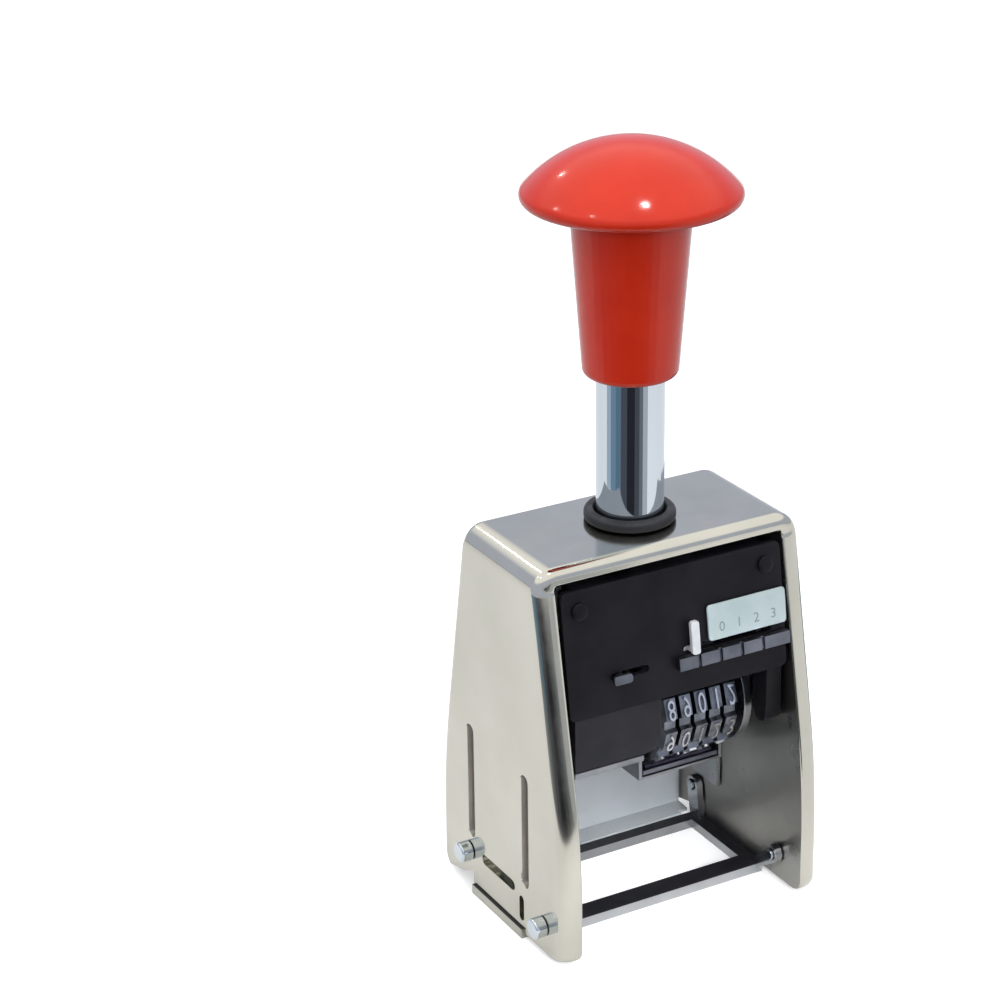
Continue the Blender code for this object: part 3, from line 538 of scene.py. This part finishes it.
def finish_shell(obj):
    """Dulls the shell's inner faces and darkens them with painted shade, and darkens the floors of
    its grooves with painted shade.
    """
    obj.data.materials.append(MATERIALS["dull_inner_chrome_painted_shade"])
    obj.data.materials.append(MATERIALS["groove"])
    inner = WIDTH / 2 - SIDE_WALL + 0.05 * MM
    shaded_groove_floor = (WIDTH / 2 - 1.2 * MM, WIDTH / 2 - 0.1 * MM)
    for face in obj.data.polygons:
        x, y, z = face.center
        # inner wall faces: duller chrome, darkened with painted shade
        if abs(x) < inner and abs(face.normal.x) > 0.9:
            face.material_index = 1
        # groove floors: darker chrome as painted shade
        elif shaded_groove_floor[0] < abs(x) < shaded_groove_floor[1]:
            if any(abs(y - at) < 1.6 * MM and low < z < high for at, low, high in GROOVES):
                face.material_index = 2


# Knob, tube and collar ---------------------------------------------------------------


def knob():
    crown, top = 26.8 * MM, 153 * MM
    rim, rim_reach = 1.7 * MM, 18.8 * MM
    edge = asin(rim_reach / (crown - rim))  # where the dome runs smoothly into its rim
    rim_centre = (rim_reach, top - crown + (crown - rim) * cos(edge))
    dome = [
        (crown * sin(edge * i / 24), top - crown + crown * cos(edge * i / 24)) for i in range(25)
    ]
    dome[0] = (0, top)
    lip = arc(rim_centre, rim, 90 - degrees(edge), -90, 14)[1:]
    fillet, fillet_centre = 2.6 * MM, (13.9 * MM, 138.9 * MM)
    neck = arc(fillet_centre, fillet, 90, 177, 8)
    foot_radius, low, round_off = 9.1 * MM, 108.2 * MM, 1.4 * MM
    foot = arc((foot_radius - round_off, low + round_off), round_off, 0, -90, 8)
    bore, bore_end, chamfer = TUBE_RADIUS + 0.4 * MM, 148.2 * MM, 0.3 * MM
    pin, pin_end = 3.2 * MM, 150.4 * MM
    inside = [
        (bore + chamfer, low),
        (bore, low + chamfer),
        (bore, bore_end),
        (pin, bore_end),
        (pin, pin_end),
        (0, pin_end),
    ]
    return revolve("knob_fine", dome + lip + neck + foot + inside, 128, 35)


def tube():
    bore, neck, low, rim = 4.8 * MM, 5.6 * MM, 72.9 * MM, 0.6 * MM
    profile = [
        (bore, low),
        (neck, low),
        (neck, SEAT),
        (TUBE_RADIUS, SEAT),
        *arc((TUBE_RADIUS - rim, TUBE_TOP - rim), rim, 0, 90, 6),
        (bore, TUBE_TOP),
    ]
    return revolve("tube_fine", profile, 128)


def collar():
    bore, r, top = 6.8 * MM, 8.8 * MM, 81.3 * MM
    under, over = 0.4 * MM, 0.9 * MM
    profile = [
        (bore, SEAT),
        *arc((r - under, SEAT + under), under, -90, 0, 4),
        *arc((r - over, top - over), over, 0, 90, 8),
        (bore + 0.3 * MM, top),
        (bore, top - 0.5 * MM),
    ]
    return revolve("collar_fine", profile, 96)


def coil(name, turns, low, high, mean, wire, steps=28, sides=10):
    rings = []
    count = turns * steps
    for i in range(count + 1):
        angle = 2 * pi * i / steps
        radial = Vector((cos(angle), sin(angle), 0))
        centre = radial * mean + Vector((0, 0, low + (high - low) * i / count))
        rings.append(
            [centre + radial * (wire * c) + Vector((0, 0, wire * s)) for c, s in circle(1, sides)]
        )
    return object_from(name, skin(rings), 60)


# Figures -------------------------------------------------------------------------------


def digit_mesh(text, height, depth):
    curve = bpy.data.curves.new(f"figure_{text}", "FONT")
    curve.body = text
    curve.size = height / FONT_HEIGHT
    curve.extrude = depth / 2
    curve.resolution_u = 3
    curve.align_x = "CENTER"
    curve.align_y = "CENTER"
    obj = bpy.data.objects.new(curve.name, curve)
    bpy.context.scene.collection.objects.link(obj)
    bpy.context.view_layer.update()
    graph = bpy.context.evaluated_depsgraph_get()
    mesh = bpy.data.meshes.new_from_object(obj.evaluated_get(graph))
    bpy.data.objects.remove(obj)
    bpy.data.curves.remove(curve)
    return mesh


def wheel(index, left):
    """A figure wheel with ten faces round its rim, and its raised reversed figures."""
    faces, body, rim = 10, 10.4 * MM, 11.35 * MM
    tooth_tip, tooth_root, tooth_run = 8 * MM, 7 * MM, 0.82
    pitch = 2 * pi / faces
    half = 0.30 * pitch
    slope = 1.25
    line = []
    for i in range(faces):
        middle = i * pitch - pi / 2
        for radius, offset in (
            (body, -half * slope),
            (rim, -half),
            (rim, half),
            (body, half * slope),
        ):
            line.append(
                (radius * cos(middle + offset), AXLE_Z + radius * sin(middle + offset))
            )
    name = f"number_wheel_{index}"
    start = left + 0.7 * MM
    end = left + WHEEL_PITCH - 0.15 * MM
    body_obj = prism(f"{name}_body", "X", start, end, line, 30)
    teeth = []
    for i in range(faces):
        a = i * pitch
        b = a + pitch * tooth_run
        teeth.append((tooth_tip * cos(a), AXLE_Z + tooth_tip * sin(a)))
        teeth.append((tooth_root * cos(b), AXLE_Z + tooth_root * sin(b)))
    ring = prism("ring", "X", left, start + 0.5 * MM, teeth, 30)
    hole = prism("hole", "X", left - MM, left + 5 * MM, circle(2.15 * MM, 32, (0, AXLE_Z)))
    carve(body_obj, [ring], "UNION")
    carve(body_obj, [hole])
    soften(body_obj, 0.09 * MM, 2)
    bm = bmesh.new()
    for i in range(faces):
        mesh = digit_mesh(str((i + index) % 10), 4.3 * MM, 0.5 * MM)
        angle = i * pitch - pi / 2
        outward = Vector((0, cos(angle), sin(angle)))
        up = Vector((0, -sin(angle), cos(angle)))
        across = Vector((1, 0, 0))
        turn = Matrix((across * FIGURE_SQUEEZE, up, outward)).transposed().to_4x4()
        spot = Vector(((start + end) / 2, 0, AXLE_Z)) + outward * rim
        mesh.transform(Matrix.Translation(spot) @ turn)
        bm.from_mesh(mesh)
        bpy.data.meshes.remove(mesh)
    figures = object_from(f"{name}_figures", bm, 30)
    return body_obj, figures


def finish_plate(obj):
    """Blackens the top of the plate inside the frame; its side tabs match the frame."""
    obj.data.materials.append(MATERIALS["black"])
    obj.data.materials.append(MATERIALS["chrome"])
    inner = WIDTH / 2 - SIDE_WALL
    for face in obj.data.polygons:
        if abs(face.center.x) > inner:
            face.material_index = 2
        elif face.normal.z > 0.9:
            face.material_index = 1


# Put the pieces together --------------------------------------------------------------

finish_shell(place(shell(), "housing_shell", MATERIALS["chrome"]))
place(knob(), "handle_knob", MATERIALS["red"])
place(tube(), "guide_tube", MATERIALS["bright"])
place(collar(), "bumper_collar", MATERIALS["rubber"])

spring = coil("return_spring_fine", 7, 80.9 * MM, 117.8 * MM, 3.95 * MM, 0.42 * MM)
place(spring, "return_spring", MATERIALS["wire"])
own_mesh(spring)

for number in range(1, WHEEL_COUNT + 1):
    node = f"number_wheel_{number}"
    rim_piece, figure_piece = wheel(number, WHEEL_START + WHEEL_PITCH * (number - 1))
    place(rim_piece, node, MATERIALS["figure"])
    place(figure_piece, node, MATERIALS["ground"], replace=False)

for node, look in NODE_LOOK.items():
    piece = place(from_cad(node), node, MATERIALS[look])
    if node == "base_plate":
        finish_plate(piece)
place(from_cad("pawl_spring", 0, smooth=60), "pawl_spring", MATERIALS["wire"])

first_figure, figure_step, figure_z = 9.6 * MM, 3.9 * MM, 60.9 * MM
for i, text in enumerate("0123"):
    mesh = digit_mesh(text, 2 * MM, 0.06 * MM)
    spot = Vector((first_figure + figure_step * i, LABEL_FACE, figure_z))
    mesh.transform(Matrix.Translation(spot) @ Matrix.Rotation(radians(90), 4, "X"))
    for vertex in mesh.vertices:
        vertex.co.y -= LEAN * (COVER_TOP - vertex.co.z)
    digit = bpy.data.objects.new(f"scale_figure_{text}", mesh)
    bpy.context.scene.collection.objects.link(digit)
    place(digit, "scale_plate", MATERIALS["print"], replace=False)


# Floor, light and camera ----------------------------------------------------------------


FLOOR_LIFT = 0.38  # glow that keeps the floor white where the machine shades it


def floor():
    bm = bmesh.new()
    half = 2.5
    square = ((-half, -half), (half, -half), (half, half), (-half, half))
    bm.faces.new([bm.verts.new((x, y, 0)) for x, y in square])
    obj = object_from("floor", bm)
    white = surface(
        "floor_white", (0.79, 0.79, 0.79), (0.82, 0.82, 0.82), 0, (0.6, 0.7), 3, 200, 0.02
    )
    nodes, links = white.node_tree.nodes, white.node_tree.links
    path = nodes.new("ShaderNodeLightPath")
    lift = span(nodes, links, path.outputs["Is Camera Ray"], 0, FLOOR_LIFT, 0, 1)
    links.new(lift, nodes["Principled BSDF"].inputs["Emission Strength"])
    nodes["Principled BSDF"].inputs["Emission Color"].default_value = (1, 1, 1, 1)
    obj.data.materials.append(white)
    obj.visible_diffuse = False


def area(name, location, size, power, toward, spread=180):
    light = bpy.data.lights.new(name, "AREA")
    light.shape = "DISK"
    light.size = size
    light.energy = power
    light.spread = radians(spread)
    obj = bpy.data.objects.new(name, light)
    obj.location = location
    direction = Vector(location) - Vector(toward)
    obj.rotation_euler = direction.to_track_quat("Z", "Y").to_euler()
    bpy.context.scene.collection.objects.link(obj)
    return obj


def lamp(name, azimuth, elevation, size, power):
    """A small round lamp aimed at the knob; azimuth 0 is the front, 90 the left."""
    a, e = radians(azimuth), radians(elevation)
    knob_at, distance = Vector((0, 0, 0.145)), 0.9
    way = Vector((-sin(a) * cos(e), -cos(a) * cos(e), sin(e)))
    area(name, knob_at + way * distance, size, power, knob_at)


BELOW = (0.34, 0.34, 0.36)
HORIZON = (0.59, 0.645, 0.80)
ZENITH = (1.27, 1.27, 1.27)


def world():
    """Soft studio surroundings, pale above and greyer towards the horizon, on a white backdrop."""
    sky = bpy.data.worlds.new("studio")
    sky.use_nodes = True
    nodes, links = sky.node_tree.nodes, sky.node_tree.links
    coordinates = nodes.new("ShaderNodeTexCoord")
    split = nodes.new("ShaderNodeSeparateXYZ")
    links.new(coordinates.outputs["Generated"], split.inputs["Vector"])
    height = span(nodes, links, split.outputs["Z"], 0, 1, -1.0, 1.0)
    # from straight down to straight up, with the horizon in the middle
    stops = [
        (0.0, BELOW),
        (0.495, BELOW),
        (0.505, HORIZON),
        (0.715, HORIZON),
        (0.79, ZENITH),
        (1.0, ZENITH),
    ]
    tone = colours(nodes, links, height, stops)
    links.new(tone, nodes["Background"].inputs["Color"])
    backdrop = nodes.new("ShaderNodeBackground")
    backdrop.inputs["Color"].default_value = (1, 1, 1, 1)
    path = nodes.new("ShaderNodeLightPath")
    seen = nodes.new("ShaderNodeMixShader")
    links.new(path.outputs["Is Camera Ray"], seen.inputs["Fac"])
    links.new(nodes["Background"].outputs["Background"], seen.inputs[1])
    links.new(backdrop.outputs["Background"], seen.inputs[2])
    links.new(seen.outputs["Shader"], nodes["World Output"].inputs["Surface"])
    bpy.context.scene.world = sky


def sector(name, start, end, near, far, shade):
    """A tinted sheet on the floor that only reflections see; 0 degrees is the front, 90 the left."""
    inner = arc((0, 0), near, -90 - start, -90 - end, 12)
    outer = arc((0, 0), far, -90 - end, -90 - start, 12)
    bm = bmesh.new()
    bm.faces.new([bm.verts.new((x, y, 0.001)) for x, y in inner + outer])
    obj = object_from(name, bm)
    material, nodes, links = new_material(name)
    glow = nodes.new("ShaderNodeEmission")
    glow.inputs["Color"].default_value = (*shade, 1)
    links.new(glow.outputs["Emission"], nodes["Material Output"].inputs["Surface"])
    obj.data.materials.append(material)
    obj.visible_camera = False
    obj.visible_diffuse = False
    obj.visible_shadow = False


def camera():
    azimuth, elevation, roll = radians(-28.98), radians(22.93), radians(-0.87)
    distance = 501.3 * MM
    target = Vector((-28.1 * MM, 0, 88.7 * MM))
    back = Vector(
        (sin(azimuth) * cos(elevation), -cos(azimuth) * cos(elevation), sin(elevation))
    )
    right = Vector((cos(azimuth), sin(azimuth), 0))
    up = back.cross(right)
    right, up = cos(roll) * right + sin(roll) * up, cos(roll) * up - sin(roll) * right
    data = bpy.data.cameras.new("camera")
    data.lens = 98.16
    data.sensor_width = 36
    data.clip_start = 0.01
    obj = bpy.data.objects.new("camera", data)
    turn = Matrix((right, up, back)).transposed().to_4x4()
    obj.matrix_world = Matrix.Translation(target + back * distance) @ turn
    bpy.context.scene.collection.objects.link(obj)
    bpy.context.scene.camera = obj


floor()
world()

# Name, first and last bearing in degrees, near and far edge in mm, colour
for name, start, end, near, far, shade in (
    ("right_blue", -150, -92, 60, 225, (0.30, 0.37, 0.46)),
    ("front_pale", -27, -10, 112, 900, (0.55, 0.58, 0.63)),
    ("front_grey", -10, 2, 112, 900, (0.18, 0.20, 0.22)),
    ("front_dim", 2, 17, 112, 900, (0.085, 0.09, 0.105)),
    ("front_dark", 17, 42, 112, 900, (0.028, 0.028, 0.036)),
    ("left_dim", 42, 62, 112, 900, (0.09, 0.095, 0.115)),
    ("left_slate", 62, 80, 112, 222, (0.17, 0.18, 0.20)),
    ("left_grey", 80, 98, 112, 222, (0.33, 0.34, 0.37)),
    ("left_navy", 62, 80, 222, 900, (0.14, 0.23, 0.31)),
    ("left_blue", 80, 98, 222, 900, (0.21, 0.32, 0.43)),
    ("left_pale", 98, 114, 222, 900, (0.47, 0.57, 0.67)),
):
    sector(name, start, end, near * MM, far * MM, shade)

# The large highlight and the small ones on the knob, then light that reflections don't show
lamp("key", -7, 75, 0.08, 1.35)
for number, (azimuth, elevation) in enumerate(((174, 35), (133, 40), (89, 56))):
    lamp(f"spark_{number}", azimuth, elevation, 0.03, 0.15)
fills = (
    area("low_fill", (-0.03, -0.22, 0.11), 0.06, 0.022, (0, 0.01, 0), 36),
    area("window_fill", (-0.06, -0.16, 0.15), 0.02, 0.0022, (0, 0.001, 0), 14),
    area("front_fill", (-0.27, -0.46, 0.34), 0.1, 0.66, (0, 0, 0.12)),
)
for fill in fills:
    fill.visible_camera = False
    fill.visible_glossy = False
bpy.context.scene.view_settings.view_transform = "Standard"
camera()
